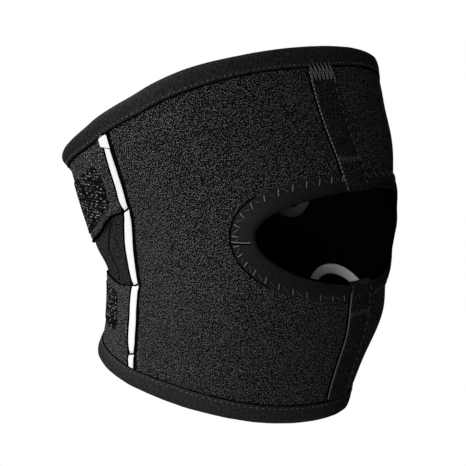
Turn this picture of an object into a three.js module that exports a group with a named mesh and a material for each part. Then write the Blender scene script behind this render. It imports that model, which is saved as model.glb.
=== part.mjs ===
// Open-patella knee brace, closed round the leg that it is cut for. Two padded side panels meet under a
// strip at the front, cloth bindings finish both rims and the kneecap opening, and two pairs of tabs
// close over a thin stretch panel behind the knee.
//
// Millimetres, +Z up the leg, -Y to the front. The origin lies on the leg's axis at the middle of the
// knee. A place on the wall is an angle round the leg, in degrees from the front towards the wearer's
// right (-X), and a height. Depths are counted outwards from the outer face of the side panels.
import * as THREE from "three";

// Sections of the leg, from the calf up to the thigh.
const LEG = [
  { height: -65, axisBack: 12, halfWidth: 50, halfDepth: 62 },
  { height: -30, axisBack: -1, halfWidth: 57, halfDepth: 62 },
  { height: 10, axisBack: 0, halfWidth: 63, halfDepth: 70 },
  { height: 50, axisBack: 10, halfWidth: 75, halfDepth: 70 },
  { height: 95, axisBack: 26, halfWidth: 80, halfDepth: 71 },
];
const SQUARENESS = 2.15;
const TWIST_PER_MM = -0.0625;

// Rims and the widths of their bindings, alike on both sides of the leg.
const RIMS = [
  { angle: 0, top: 83.5, topBand: 9, bottom: -76.5, bottomBand: 8.5 },
  { angle: 30, top: 80.8, topBand: 8.2, bottom: -75, bottomBand: 8.6 },
  { angle: 48, top: 76.1, topBand: 8.5, bottom: -72.2, bottomBand: 8.8 },
  { angle: 60, top: 70.4, topBand: 8.1, bottom: -69.9, bottomBand: 9 },
  { angle: 68, top: 65.6, topBand: 7.7, bottom: -68.5, bottomBand: 9.1 },
  { angle: 76, top: 61.3, topBand: 7.6, bottom: -67, bottomBand: 9.2 },
  { angle: 84, top: 57, topBand: 7.3, bottom: -65.4, bottomBand: 8.9 },
  { angle: 92, top: 52.4, topBand: 7.1, bottom: -63.8, bottomBand: 8.6 },
  { angle: 105, top: 46.2, topBand: 6.4, bottom: -61.3, bottomBand: 8.1 },
  { angle: 120, top: 40.2, topBand: 5.3, bottom: -57.6, bottomBand: 8 },
  { angle: 150, top: 33.2, topBand: 5.2, bottom: -50.7, bottomBand: 8 },
  { angle: 180, top: 31, topBand: 5.2, bottom: -48.5, bottomBand: 8 },
];

// Edges of the tabs that face each other across the stretch panel.
const TAB_EDGES = [
  { angle: 94, upper: 16.8, lower: -15.5 },
  { angle: 100, upper: 15.2, lower: -15.7 },
  { angle: 105, upper: 13.7, lower: -16 },
  { angle: 110, upper: 11, lower: -16.4 },
  { angle: 116.5, upper: 6.9, lower: -16.5 },
  { angle: 121, upper: 4.8, lower: -15.6 },
  { angle: 127, upper: 2.4, lower: -15.3 },
  { angle: 140, upper: -1, lower: -15 },
  { angle: 180, upper: -2.4, lower: -14.5 },
];

// Hollows where the cloth is drawn in, and bulges where the depth is negative.
const DENTS = [
  { angle: -42, height: 84, depth: 1.3, spread: 25, rise: 14 },
  { angle: -42, height: 55, depth: 0.5, spread: 22, rise: 8 },
  { angle: -42, height: 40, depth: -0.6, spread: 20, rise: 11 },
  { angle: -44, height: 22, depth: 1, spread: 18, rise: 9 },
  { angle: -44, height: 5, depth: -1.1, spread: 16, rise: 7 },
  { angle: -45, height: -14, depth: 3.3, spread: 18, rise: 11 },
  { angle: -43, height: -36, depth: -1.7, spread: 20, rise: 12 },
  { angle: -42, height: -46, depth: -0.5, spread: 20, rise: 9 },
  { angle: -42, height: -62, depth: 1.1, spread: 24, rise: 14 },
  { angle: -38, height: -78, depth: 1.2, spread: 24, rise: 9 },
  { angle: -22, height: -77, depth: 1, spread: 16, rise: 9 },
  { angle: 131, height: 33, depth: 0.8, spread: 18, rise: 7 },
  { angle: 131, height: 13, depth: -0.75, spread: 18, rise: 10 },
  { angle: 132, height: -3, depth: -1.1, spread: 18, rise: 6 },
  { angle: 134, height: -16, depth: 1.75, spread: 18, rise: 9 },
  { angle: 134, height: -43, depth: -0.8, spread: 20, rise: 11 },
  { angle: 134, height: -61, depth: -0.6, spread: 20, rise: 8 },
];

const WALL = 2.5;
const CLOTH = 1;
const GAP = 0.3;
const FOLD_ROUND = 0.6;
const SEAM_ANGLE = 0.13;

// Kneecap opening: an oval whose ends turn up a little, and its binding.
const OPENING_MIDDLE = 4;
const OPENING_HALF_HEIGHT = 19.5;
const OPENING_HALF_ANGLE = 42.5;
const OPENING_TIP_RISE = 2.5;
const OPENING_BAND = 8;
const OPENING_BAND_TIP = 10.5;

const STRIP_HALF_WIDTH = 7;
const STRIP_TURN_IN = 9;
// Where the strip is sewn on off the front line, towards the right.
const STRIP_DRIFTS = [
  { height: 56, shift: 1.8, rise: 16 },
  { height: -38, shift: -1.6, rise: 12 },
];

// Reflective tape in a groove behind the side panel. It leans forwards towards the thigh, and cross
// stitches draw it in.
const TAPE = [
  { height: -53, angle: 106.6, halfWidth: 1.7 },
  { height: -50, angle: 107.1, halfWidth: 1.9 },
  { height: -46.8, angle: 107, halfWidth: 1.6 },
  { height: -42, angle: 107.4, halfWidth: 2.25 },
  { height: -36, angle: 107.1, halfWidth: 2.45 },
  { height: -30, angle: 106, halfWidth: 2.4 },
  { height: -24, angle: 104.8, halfWidth: 2.4 },
  { height: -19, angle: 103, halfWidth: 2.3 },
  { height: -15.3, angle: 101.3, halfWidth: 1.9 },
  { height: -11, angle: 101.2, halfWidth: 2.2 },
  { height: -5, angle: 100.5, halfWidth: 2.45 },
  { height: 2, angle: 99, halfWidth: 2.65 },
  { height: 9, angle: 96.3, halfWidth: 2.5 },
  { height: 14, angle: 94, halfWidth: 2.1 },
  { height: 17.3, angle: 93.1, halfWidth: 1.75 },
  { height: 21, angle: 92.6, halfWidth: 2.2 },
  { height: 28, angle: 90.5, halfWidth: 2.15 },
  { height: 36, angle: 88.4, halfWidth: 2.1 },
  { height: 43, angle: 86.5, halfWidth: 1.8 },
  { height: 49, angle: 85.2, halfWidth: 1.7 },
];
const TAPE_GROOVE = 1.8;
const TAPE_BOTTOM = -1;
const TAPE_TOP = 0;

const BACK_BOTTOM = -2.5;
const BACK_TOP = -1.5;

// Tabs: the right pair lies on the stretch panel, the left pair climbs over the right one.
const TAB_BOTTOM = -1.1;
const TAB_THICK = 1;
const TAB_BEHIND_TAPE = 3.1;
const TAB_END_RIGHT = 200;
const TAB_END_LEFT = 202;
const TAB_CLIMB_START = 142;
const TAB_CLIMB_END = 156;
const TAB_CORNER = 6;
// Where a tab leaves the rim's binding.
const TAB_FREE_START = 134;
const TAB_FREE_END = 142;

const PATCH_THICK = 0.5;
const PATCH_END = 196;
const PATCH_CORNER = 4;
const PATCHES = {
  upper: { behindTape: 8, below: 3.5, above: 5.5 },
  lower: { behindTape: 13, below: 10, above: 4 },
};

// Silicone waves on the inner face, on the left: places along each one.
const WAVE_HALF_WIDTH = 2.3;
const WAVE_THICK = 0.8;
const WAVES = {
  upper: [
    { turn: 0, angle: -103.5, height: 22 },
    { turn: 1, angle: -101.2, height: 17.5 },
    { turn: 2, angle: -100.6, height: 12 },
    { turn: 3, angle: -101.6, height: 7.4 },
    { turn: 4, angle: -104.8, height: 4.2 },
    { turn: 5, angle: -109, height: 3.1 },
    { turn: 6, angle: -113.4, height: 4.5 },
    { turn: 7, angle: -117.4, height: 8 },
    { turn: 8, angle: -121.5, height: 12 },
  ],
  lower: [
    { turn: 0, angle: -50, height: -29.5 },
    { turn: 1, angle: -56, height: -28.8 },
    { turn: 2, angle: -63, height: -26.6 },
    { turn: 3, angle: -70.5, height: -24 },
    { turn: 4, angle: -77, height: -22.2 },
    { turn: 5, angle: -83, height: -21.6 },
    { turn: 6, angle: -88.4, height: -22.6 },
    { turn: 7, angle: -92, height: -25.7 },
    { turn: 8, angle: -93.6, height: -30 },
    { turn: 9, angle: -95.6, height: -34 },
  ],
};

const KNIT_CHARCOAL = { color: 0x2b2b2e, roughness: 0.85, metalness: 0 };
const SATIN_BLACK = { color: 0x232225, roughness: 0.55, metalness: 0 };
const STRETCH_BLACK = { color: 0x252528, roughness: 0.8, metalness: 0 };
const REFLECTIVE_WHITE = { color: 0xe8e8ea, roughness: 0.4, metalness: 0 };
const LOOP_PILE = { color: 0x202022, roughness: 0.95, metalness: 0 };
const SILICONE_GREY = { color: 0x8f8f90, roughness: 0.45, metalness: 0 };

const radians = THREE.MathUtils.degToRad;
const lerp = THREE.MathUtils.lerp;

// Smooth curve through one column of a table.
function readTable(rows, key, column, at, flatEnds) {
  const last = rows.length - 1;
  const slope = (i) => (rows[i + 1][column] - rows[i][column]) / (rows[i + 1][key] - rows[i][key]);
  const endSlope = (i) => (flatEnds ? 0 : slope(i));
  const tangent = (i) => {
    if (i === 0) {
      return endSlope(0);
    }
    if (i === last) {
      return endSlope(last - 1);
    }
    const before = rows[i][key] - rows[i - 1][key];
    const after = rows[i + 1][key] - rows[i][key];
    return (slope(i - 1) * after + slope(i) * before) / (before + after);
  };
  if (at <= rows[0][key]) {
    return rows[0][column] + tangent(0) * (at - rows[0][key]);
  }
  if (at >= rows[last][key]) {
    return rows[last][column] + tangent(last) * (at - rows[last][key]);
  }
  const i = rows.findIndex((row, n) => at < rows[n + 1][key]);
  const step = rows[i + 1][key] - rows[i][key];
  const t = (at - rows[i][key]) / step;
  const ease = t * t * (3 - 2 * t);
  const leave = t * (1 - t) * (1 - t) * step;
  const arrive = t * t * (t - 1) * step;
  return lerp(rows[i][column], rows[i + 1][column], ease) + leave * tangent(i) + arrive * tangent(i + 1);
}

// Angle folded to one half of the leg, for tables that hold for both sides.
function halfAngle(angle) {
  const turned = Math.abs(angle) % 360;
  return Math.min(turned, 360 - turned);
}

const rim = (angle, column) => readTable(RIMS, "angle", column, halfAngle(angle), true);
const tabEdge = (angle, column) => readTable(TAB_EDGES, "angle", column, halfAngle(angle), false);
const tapeAngle = (height) => readTable(TAPE, "height", "angle", height, false);
const tapeHalf = (height) => readTable(TAPE, "height", "halfWidth", height, true);

function dentDepth(angle, height) {
  let depth = 0;
  for (const dent of DENTS) {
    const across = (THREE.MathUtils.euclideanModulo(angle - dent.angle + 180, 360) - 180) / dent.spread;
    const along = (height - dent.height) / dent.rise;
    depth += dent.depth * Math.exp(-across * across - along * along);
  }
  return depth;
}

// Point on the outer face of the side panels.
function face(angle, height) {
  const section = (column) => readTable(LEG, "height", column, height, false);
  const sine = Math.sin(radians(angle));
  const cosine = Math.cos(radians(angle));
  const wide = (Math.abs(sine) / section("halfWidth")) ** SQUARENESS;
  const deep = (Math.abs(cosine) / section("halfDepth")) ** SQUARENESS;
  const radius = (wide + deep) ** (-1 / SQUARENESS) - dentDepth(angle, height);
  const point = new THREE.Vector3(-radius * sine, -radius * cosine, height);
  point.applyAxisAngle(new THREE.Vector3(0, 0, 1), radians(TWIST_PER_MM * height));
  point.y += section("axisBack");
  return point;
}

// How the face runs at a place: its change for a degree and for a millimetre up, and its normal.
function frameAt(place) {
  const small = 0.05;
  const around = face(place.angle + small, place.height).sub(face(place.angle - small, place.height));
  const along = face(place.angle, place.height + small).sub(face(place.angle, place.height - small));
  around.divideScalar(2 * small);
  along.divideScalar(2 * small);
  const normal = new THREE.Vector3().crossVectors(along, around).normalize();
  return { around, along, normal };
}

function wall(place, depth) {
  return face(place.angle, place.height).addScaledVector(frameAt(place).normal, depth);
}

// The place a distance to the left of a line on the wall, seen from outside while following the line.
function beside(line, turn, distance) {
  const small = 1e-4;
  const place = line(turn);
  const ahead = line(turn + small);
  const { around, along, normal } = frameAt(place);
  const onward = face(ahead.angle, ahead.height).sub(face(place.angle, place.height));
  const left = new THREE.Vector3().crossVectors(normal, onward).setLength(distance);
  const across = around.dot(along);
  const area = around.lengthSq() * along.lengthSq() - across * across;
  return {
    angle: place.angle + (left.dot(around) * along.lengthSq() - left.dot(along) * across) / area,
    height: place.height + (left.dot(along) * around.lengthSq() - left.dot(around) * across) / area,
  };
}

function steps(count, from = 0, to = 1) {
  return Array.from({ length: count + 1 }, (_, i) => lerp(from, to, i / count));
}

// Lines on the wall, each with its cloth on the left.
const topRim = (turn) => ({ angle: 360 * turn, height: rim(360 * turn, "top") });
const bottomRim = (turn) => ({ angle: -360 * turn, height: rim(360 * turn, "bottom") });
const tapeLine = (height) => ({ angle: tapeAngle(height), height });

// Edge of the kneecap opening on the right half, from its lowest point by the tip to its highest.
function openingEdge(turn) {
  const angle = OPENING_HALF_ANGLE * Math.sin(Math.PI * turn);
  return { angle, height: openingHeight(angle, turn < 0.5 ? -1 : 1) };
}

// Height of the opening's upper (1) or lower (-1) edge at an angle.
function openingHeight(angle, upwards) {
  const reach = angle / OPENING_HALF_ANGLE;
  const half = OPENING_HALF_HEIGHT * Math.sqrt(1 - reach * reach);
  return OPENING_MIDDLE + OPENING_TIP_RISE * reach * reach + upwards * half;
}

// Height a distance in from a rim, measured square to the rim.
function inFromRim(angle, column, distance) {
  const small = 0.5;
  const rise = (rim(angle + small, column) - rim(angle - small, column)) / (2 * small);
  const run = frameAt({ angle, height: rim(angle, column) }).around.length();
  const upright = distance * Math.hypot(1, rise / run);
  return rim(angle, column) + (column === "top" ? -upright : upright);
}

// Height where a line, given by its angle at each height, meets a border given by its height at each angle.
function meet(angleAt, heightAt) {
  let height = 0;
  for (let i = 0; i < 40; i += 1) {
    height = lerp(height, heightAt(angleAt(height)), 0.6);
  }
  return height;
}

// Closed body from shared points, turned so that its faces point out.
function closedGeometry(points, triangles) {
  let volume = 0;
  for (const [a, b, c] of triangles) {
    volume += points[a].dot(new THREE.Vector3().crossVectors(points[b], points[c]));
  }
  const outward = volume > 0 ? triangles : triangles.map(([a, b, c]) => [a, c, b]);
  const geometry = new THREE.BufferGeometry();
  geometry.setAttribute("position", new THREE.Float32BufferAttribute(points.flatMap((p) => p.toArray()), 3));
  geometry.setIndex(outward.flat());
  return geometry;
}

// Cloth over a grid of places, between a bottom and a top depth that may vary from place to place.
function sheet(rows, bottomAt, topAt) {
  const last = rows.length - 1;
  const side = rows[0].length - 1;
  const points = [topAt, bottomAt].flatMap((depthAt) =>
    rows.flatMap((row) => row.map((place, j) => wall(place, depthAt(place, j / side)))),
  );
  const top = (i, j) => i * (side + 1) + j;
  const bottom = (i, j) => points.length / 2 + top(i, j);
  const triangles = [];
  const quad = (a, b, c, d) => {
    const shortest = points[a].distanceTo(points[c]) <= points[b].distanceTo(points[d]);
    triangles.push(...(shortest ? [[a, b, c], [a, c, d]] : [[a, b, d], [b, c, d]]));
  };
  for (let i = 0; i < last; i += 1) {
    for (let j = 0; j < side; j += 1) {
      quad(top(i, j), top(i + 1, j), top(i + 1, j + 1), top(i, j + 1));
      quad(bottom(i, j), bottom(i, j + 1), bottom(i + 1, j + 1), bottom(i + 1, j));
    }
    quad(top(i, 0), bottom(i, 0), bottom(i + 1, 0), top(i + 1, 0));
    quad(top(i + 1, side), bottom(i + 1, side), bottom(i, side), top(i, side));
  }
  for (let j = 0; j < side; j += 1) {
    quad(top(0, j + 1), bottom(0, j + 1), bottom(0, j), top(0, j));
    quad(top(last, j), bottom(last, j), bottom(last, j + 1), top(last, j + 1));
  }
  return closedGeometry(points, triangles);
}

// Section carried along as rings of points, joined into a loop or capped at both ends. A ring holds the
// cloth's outside and then its inside, back to the start, in pairs.
function carried(rings, closed) {
  const count = rings[0].length;
  const spans = closed ? rings.length : rings.length - 1;
  const triangles = [];
  for (let i = 0; i < spans; i += 1) {
    const here = i * count;
    const next = ((i + 1) % rings.length) * count;
    for (let j = 0; j < count; j += 1) {
      const k = (j + 1) % count;
      triangles.push([here + j, here + k, next + k], [here + j, next + k, next + j]);
    }
  }
  if (!closed) {
    const far = (rings.length - 1) * count;
    for (let i = 0; i < count / 2 - 1; i += 1) {
      const pair = [i, i + 1, count - 2 - i, count - 1 - i];
      const [a, b, c, d] = pair.map((n) => far + n);
      triangles.push([pair[2], pair[1], pair[0]], [pair[3], pair[2], pair[0]], [a, b, c], [a, c, d]);
    }
  }
  return closedGeometry(rings.flat(), triangles);
}

// Section of cloth folded over the padded wall's edge: distance in from the fold, and depth.
function foldedSection(outerBand, innerBand, outerSpans, innerSpans) {
  const under = -WALL - 1.5 * GAP;
  const outside = [
    ...steps(outerSpans, outerBand, FOLD_ROUND).map((across) => [across, GAP + CLOTH]),
    [0, GAP],
    [0, under],
    ...steps(innerSpans, FOLD_ROUND, innerBand).map((across) => [across, under - CLOTH]),
  ];
  const inside = [
    ...steps(outerSpans, outerBand, CLOTH).map((across) => [across, GAP]),
    [CLOTH, -WALL / 3],
    [CLOTH, (-2 * WALL) / 3],
    ...steps(innerSpans, CLOTH, innerBand).map((across) => [across, under]),
  ];
  return [...outside, ...inside.reverse()];
}

// Binding along a line on the wall.
function binding(line, turns, bandAt, spans, mirror, closed) {
  const rings = turns.map((turn) => {
    const band = bandAt(turn);
    return foldedSection(band, band, spans, spans).map(([across, depth]) => {
      const { angle, height } = beside(line, turn, across);
      return wall({ angle: mirror * angle, height }, depth);
    });
  });
  return carried(rings, closed);
}

// Cloth between two end angles and two border heights, with the corners at its ends rounded.
function stretch(columns, rowsUp, ends, borders) {
  const cut = (inset, radius) => {
    const short = Math.max(0, radius - inset);
    return radius - Math.sqrt(radius * radius - short * short);
  };
  return steps(columns).map((u) => steps(rowsUp).map((v) => {
    let place = { angle: lerp(ends.from(0), ends.to(0), u), height: 0 };
    for (let i = 0; i < 15; i += 1) {
      const bottom = borders.bottom(place.angle);
      const top = borders.top(place.angle);
      const height = lerp(bottom, top, v);
      const inset = Math.min(height - bottom, top - height);
      const degreesPerMm = 1 / frameAt(place).around.length();
      const from = ends.from(height) + cut(inset, ends.fromCorner) * degreesPerMm;
      const to = ends.to(height) - cut(inset, ends.toCorner) * degreesPerMm;
      place = { angle: lerp(from, to, u), height };
    }
    return place;
  }));
}

const mirrored = (rows, mirror) =>
  rows.map((row) => row.map(({ angle, height }) => ({ angle: mirror * angle, height })));
const level = (depth) => () => depth;

const brace = new THREE.Group();

function add(name, geometry, finish) {
  const mesh = new THREE.Mesh(geometry, new THREE.MeshStandardMaterial(finish));
  mesh.name = name;
  brace.add(mesh);
}

const SIDES = [
  { name: "right", mirror: 1 },
  { name: "left", mirror: -1 },
];

// Border of a side panel, from the front by the bottom rim, the tape's groove and the top rim to the front.
const EDGE_INSET = CLOTH + GAP;
const BOTTOM_SHARE = 0.36;
const REAR_SHARE = 0.63;
const besideTape = (height, distance) => beside(tapeLine, height, distance).angle;
const panelRear = (height) => besideTape(height, -tapeHalf(height) - TAPE_GROOVE);
const panelTop = (angle) => inFromRim(angle, "top", EDGE_INSET);
const panelBottom = (angle) => inFromRim(angle, "bottom", EDGE_INSET);
const rearTop = meet(panelRear, panelTop);
const rearBottom = meet(panelRear, panelBottom);

function panelBorder(share) {
  if (share <= BOTTOM_SHARE) {
    const angle = lerp(0, panelRear(rearBottom), share / BOTTOM_SHARE);
    return { angle, height: panelBottom(angle) };
  }
  if (share <= REAR_SHARE) {
    const height = lerp(rearBottom, rearTop, (share - BOTTOM_SHARE) / (REAR_SHARE - BOTTOM_SHARE));
    return { angle: panelRear(height), height };
  }
  const angle = lerp(panelRear(rearTop), 0, (share - REAR_SHARE) / (1 - REAR_SHARE));
  return { angle, height: panelTop(angle) };
}

function sidePanelPlaces() {
  const bottomTurns = steps(13, 0, BOTTOM_SHARE);
  const rearTurns = steps(9, BOTTOM_SHARE, REAR_SHARE).slice(1);
  const topTurns = steps(13, REAR_SHARE, 1).slice(1);
  return [...bottomTurns, ...rearTurns, ...topTurns].map((share) => {
    const inner = beside(openingEdge, share, EDGE_INSET);
    const outer = panelBorder(share);
    return steps(9).map((across) => ({
      angle: Math.max(SEAM_ANGLE, lerp(inner.angle, outer.angle, across)),
      height: lerp(inner.height, outer.height, across),
    }));
  });
}

for (const { name, mirror } of SIDES) {
  const places = mirrored(sidePanelPlaces(), mirror);
  add(`side_panel_${name}`, sheet(places, level(-WALL), level(0)), KNIT_CHARCOAL);
}

// Bindings of both rims, and of the opening between the edges of the front strip.
const rimTurns = steps(44).slice(1);
const topBand = (turn) => rim(360 * turn, "topBand");
const bottomBand = (turn) => rim(360 * turn, "bottomBand");
add("top_binding", binding(topRim, rimTurns, topBand, 1, 1, true), SATIN_BLACK);
add("bottom_binding", binding(bottomRim, rimTurns, bottomBand, 1, 1, true), SATIN_BLACK);

function openingBand(turn) {
  const reach = Math.sin(Math.PI * turn);
  return lerp(OPENING_BAND, OPENING_BAND_TIP, reach * reach);
}

// Angle of a distance from the front line.
const frontAngle = (height, distance) =>
  THREE.MathUtils.radToDeg(distance / readTable(LEG, "height", "halfDepth", height, false));
const clearOfStrip = frontAngle(OPENING_MIDDLE - OPENING_HALF_HEIGHT, STRIP_HALF_WIDTH + 2 * GAP);
const bindingStart = Math.asin(clearOfStrip / OPENING_HALF_ANGLE) / Math.PI;

for (const { name, mirror } of SIDES) {
  const turns = steps(22, bindingStart, 1 - bindingStart);
  add(`opening_binding_${name}`, binding(openingEdge, turns, openingBand, 2, mirror, false), SATIN_BLACK);
}

// Strips over the front seam, turned in round the opening's edge.
function stripDrift(height) {
  return STRIP_DRIFTS.reduce((sum, drift) => {
    const along = (height - drift.height) / drift.rise;
    return sum + drift.shift * Math.exp(-along * along);
  }, 0);
}

function frontStrip(upwards, length) {
  const outline = foldedSection(length, STRIP_TURN_IN, 7, 2);
  const rings = steps(4, -1, 1).map((share) => outline.map(([across, depth]) => {
    const level = OPENING_MIDDLE + upwards * (OPENING_HALF_HEIGHT + across);
    const angle = frontAngle(level, stripDrift(level) + share * STRIP_HALF_WIDTH);
    return wall({ angle, height: openingHeight(angle, upwards) + upwards * across }, depth);
  }));
  return carried(rings, false);
}

const upperStripLength = inFromRim(0, "top", rim(0, "topBand") + GAP) - openingHeight(0, 1);
const lowerStripLength = openingHeight(0, -1) - inFromRim(0, "bottom", rim(0, "bottomBand") + GAP);
add("front_strip_upper", frontStrip(1, upperStripLength), KNIT_CHARCOAL);
add("front_strip_lower", frontStrip(-1, lowerStripLength), KNIT_CHARCOAL);

// Tape, stretch panel and tabs, which the bindings hold by their edges.
const tapeEnds = { bottom: meet(tapeAngle, panelBottom), top: meet(tapeAngle, panelTop) };
const tapePlaces = steps(34, tapeEnds.bottom + 2 * GAP, tapeEnds.top - 2 * GAP).map((height) =>
  [-1, 1].map((side) => beside(tapeLine, height, side * tapeHalf(height))),
);

for (const { name, mirror } of SIDES) {
  const places = mirrored(tapePlaces, mirror);
  add(`reflective_tape_${name}`, sheet(places, level(TAPE_BOTTOM), level(TAPE_TOP)), REFLECTIVE_WHITE);
}

const backFrom = (height) => besideTape(height, -tapeHalf(height) - TAPE_GROOVE + 4 * GAP);
const backPlaces = stretch(
  30,
  12,
  { from: backFrom, to: (height) => 360 - backFrom(height), fromCorner: 0, toCorner: 0 },
  { bottom: panelBottom, top: panelTop },
);
add("back_panel", sheet(backPlaces, level(BACK_BOTTOM), level(BACK_TOP)), STRETCH_BLACK);

const underTopBinding = (angle) => inFromRim(angle, "top", rim(angle, "topBand") + 2 * GAP);
const aboveBottomBinding = (angle) => inFromRim(angle, "bottom", rim(angle, "bottomBand") + 2 * GAP);
function leaving(bound, free) {
  return (angle) => {
    const share = THREE.MathUtils.smoothstep(halfAngle(angle), TAB_FREE_START, TAB_FREE_END);
    return lerp(bound(angle), free(angle), share);
  };
}

const TAB_BORDERS = {
  upper: { bottom: (angle) => tabEdge(angle, "upper"), top: leaving(panelTop, underTopBinding) },
  lower: { bottom: leaving(panelBottom, aboveBottomBinding), top: (angle) => tabEdge(angle, "lower") },
};
const tabFrom = (height) => besideTape(height, TAB_BEHIND_TAPE);
const climbHeight = TAB_THICK + PATCH_THICK + 3 * GAP;
function climb(place) {
  const share = THREE.MathUtils.smoothstep(Math.abs(place.angle), TAB_CLIMB_START, TAB_CLIMB_END);
  return TAB_BOTTOM + climbHeight * share;
}

for (const [row, borders] of Object.entries(TAB_BORDERS)) {
  const rightEnds = { from: tabFrom, to: () => TAB_END_RIGHT, fromCorner: 0, toCorner: TAB_CORNER };
  const leftEnds = { ...rightEnds, to: () => TAB_END_LEFT };
  const rightPlaces = stretch(15, 6, rightEnds, borders);
  const leftPlaces = mirrored(stretch(16, 6, leftEnds, borders), -1);
  const right = sheet(rightPlaces, level(TAB_BOTTOM), level(TAB_BOTTOM + TAB_THICK));
  const left = sheet(leftPlaces, climb, (place) => climb(place) + TAB_THICK);
  add(`${row}_tab_right`, right, STRETCH_BLACK);
  add(`${row}_tab_left`, left, STRETCH_BLACK);
}

// Loop pile on the right tabs.
const patchBottom = TAB_BOTTOM + TAB_THICK + 1.5 * GAP;
for (const [row, patch] of Object.entries(PATCHES)) {
  const borders = TAB_BORDERS[row];
  const places = stretch(
    12,
    4,
    {
      from: (height) => tapeAngle(height) + patch.behindTape,
      to: () => PATCH_END,
      fromCorner: PATCH_CORNER,
      toCorner: PATCH_CORNER,
    },
    {
      bottom: (angle) => Math.max(borders.bottom(angle), aboveBottomBinding(angle)) + patch.below,
      top: (angle) => Math.min(borders.top(angle), underTopBinding(angle)) - patch.above,
    },
  );
  add(`${row}_loop_patch`, sheet(places, level(patchBottom), level(patchBottom + PATCH_THICK)), LOOP_PILE);
}

// Silicone waves on the inner face.
for (const [row, wave] of Object.entries(WAVES)) {
  const line = (turn) => ({
    angle: readTable(wave, "turn", "angle", turn, false),
    height: readTable(wave, "turn", "height", turn, false),
  });
  const places = steps(24, 0, wave.length - 1).map((turn) =>
    [-1, 1].map((side) => beside(line, turn, side * WAVE_HALF_WIDTH)),
  );
  const top = -WALL - GAP;
  add(`grip_wave_${row}`, sheet(places, level(top - WAVE_THICK), level(top)), SILICONE_GREY);
}

export default brace;
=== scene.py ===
"""Open-patella knee brace, dressed in cloth, thread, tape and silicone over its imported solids.

Shapes are worked out in millimetres and written to meshes in metres. A place on the wall is an angle
round the leg, in degrees from the front towards the wearer's right (-X), and a height. A depth is
counted outwards from the outer face of the side panels.
"""
import math

import bpy
import numpy as np
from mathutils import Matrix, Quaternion, Vector


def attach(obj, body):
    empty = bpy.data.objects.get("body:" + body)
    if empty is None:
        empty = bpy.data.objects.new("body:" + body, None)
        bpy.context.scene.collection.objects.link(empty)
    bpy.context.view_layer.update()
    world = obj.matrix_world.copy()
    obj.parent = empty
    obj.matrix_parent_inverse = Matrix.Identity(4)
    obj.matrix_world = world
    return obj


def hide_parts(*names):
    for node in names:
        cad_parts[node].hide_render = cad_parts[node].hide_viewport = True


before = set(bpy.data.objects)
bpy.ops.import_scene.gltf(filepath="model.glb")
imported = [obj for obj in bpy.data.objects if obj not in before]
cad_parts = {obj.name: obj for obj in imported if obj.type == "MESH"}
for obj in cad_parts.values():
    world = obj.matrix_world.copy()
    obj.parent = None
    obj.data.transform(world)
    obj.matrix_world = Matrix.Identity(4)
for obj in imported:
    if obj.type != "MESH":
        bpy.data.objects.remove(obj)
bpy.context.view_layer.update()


# SIDE PANELS
# Two halves of charcoal jersey bonded to a neoprene core, with a black lining inside. They are cut to the
# leg, meet edge to edge at the front, and turn in at the rear along the reflective tape.
MM = 0.001
WALL = 2.5
CLOTH = 1.0
GAP = 0.3
SEAM_ANGLE = 0.13

# Sections of the leg, from the calf up: height, shift of the axis to the back, half width, half depth.
LEG = np.array([
    (-65, 12, 50, 62),
    (-30, -1, 57, 62),
    (10, 0, 63, 70),
    (50, 10, 75, 70),
    (95, 26, 80, 71),
], float)
AXIS_BACK, HALF_WIDTH, HALF_DEPTH = 1, 2, 3
SQUARENESS = 2.15
TWIST_PER_MM = -0.0625
MEAN_RADIUS = 66

# Hollows where the cloth is drawn in: angle, height, depth, spread in degrees, rise. A bulge is negative.
DENTS = [
    (-42, 84, 1.3, 25, 14),
    (-42, 55, 0.5, 22, 8),
    (-42, 40, -0.6, 20, 11),
    (-44, 22, 1.0, 18, 9),
    (-44, 5, -1.1, 16, 7),
    (-45, -14, 3.3, 18, 11),
    (-43, -36, -1.7, 20, 12),
    (-42, -46, -0.5, 20, 9),
    (-42, -62, 1.1, 24, 14),
    (-38, -78, 1.2, 24, 9),
    (-22, -77, 1.0, 16, 9),
    (131, 33, 0.8, 18, 7),
    (131, 13, -0.75, 18, 10),
    (132, -3, -1.1, 18, 6),
    (134, -16, 1.75, 18, 9),
    (134, -43, -0.8, 20, 11),
    (134, -61, -0.6, 20, 8),
]

# Rims, alike on both sides: angle, top height, width of its binding, bottom height, width of its binding.
RIMS = np.array([
    (0, 83.5, 9, -76.5, 8.5),
    (30, 80.8, 8.2, -75, 8.6),
    (48, 76.1, 8.5, -72.2, 8.8),
    (60, 70.4, 8.1, -69.9, 9),
    (68, 65.6, 7.7, -68.5, 9.1),
    (76, 61.3, 7.6, -67, 9.2),
    (84, 57, 7.3, -65.4, 8.9),
    (92, 52.4, 7.1, -63.8, 8.6),
    (105, 46.2, 6.4, -61.3, 8.1),
    (120, 40.2, 5.3, -57.6, 8),
    (150, 33.2, 5.2, -50.7, 8),
    (180, 31, 5.2, -48.5, 8),
], float)
TOP, TOP_BAND, BOTTOM, BOTTOM_BAND = 1, 2, 3, 4

OPENING_MIDDLE = 4
OPENING_HALF_HEIGHT = 19.5
OPENING_HALF_ANGLE = 42.5
OPENING_TIP_RISE = 2.5

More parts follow.
